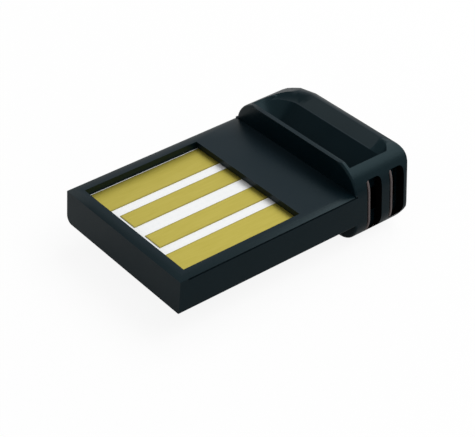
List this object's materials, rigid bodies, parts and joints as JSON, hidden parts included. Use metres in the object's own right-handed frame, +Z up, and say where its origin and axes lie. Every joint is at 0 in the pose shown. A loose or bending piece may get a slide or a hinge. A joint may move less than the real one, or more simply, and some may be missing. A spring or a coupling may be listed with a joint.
{
  "type": "usb bluetooth adapter",
  "caption": "Nano USB radio adapter with a flat bare-board plug, a windowed cover over gold contacts and a short head with a finger recess and side slots.",
  "frame": {"origin": "middle of the bounding box's underside", "axes": "+X the way the plug goes into the socket, +Z up out of the contact face, +Y to the left looking along +X"},
  "size_m": [0.0176, 0.012, 0.0055],
  "materials": {
    "cover_plastic": "glossy black moulding",
    "tray_plastic": "glossy black moulding",
    "board_laminate": "white solder mask over glass laminate",
    "contact_gold": "flash gold on copper, satin",
    "chip_resin": "moulded black resin",
    "crystal_metal": "plated lid",
    "antenna_ceramic": "white ceramic",
    "capacitor_ceramic": "tan ceramic",
    "resistor_black": "black glass over ceramic",
    "ferrite_grey": "grey ferrite"
  },
  "bodies": {
    "root": {"bottom_shell": "tray_plastic", "chip_antenna": "antenna_ceramic", "circuit_board": "board_laminate", "contact_data_minus": "contact_gold", "contact_data_plus": "contact_gold", "contact_ground": "contact_gold", "contact_supply": "contact_gold", "crystal": "crystal_metal", "crystal_capacitor_1": "capacitor_ceramic", "crystal_capacitor_2": "capacitor_ceramic", "data_resistor_1": "resistor_black", "data_resistor_2": "resistor_black", "ferrite_bead": "ferrite_grey", "matching_capacitor": "capacitor_ceramic", "matching_inductor": "ferrite_grey", "memory_chip": "chip_resin", "radio_capacitor_1": "capacitor_ceramic", "radio_capacitor_2": "capacitor_ceramic", "radio_capacitor_3": "capacitor_ceramic", "radio_chip": "chip_resin", "regulator": "chip_resin", "supply_capacitor": "capacitor_ceramic", "surge_diode": "chip_resin", "top_cover": "cover_plastic"}
  },
  "joints": []
}
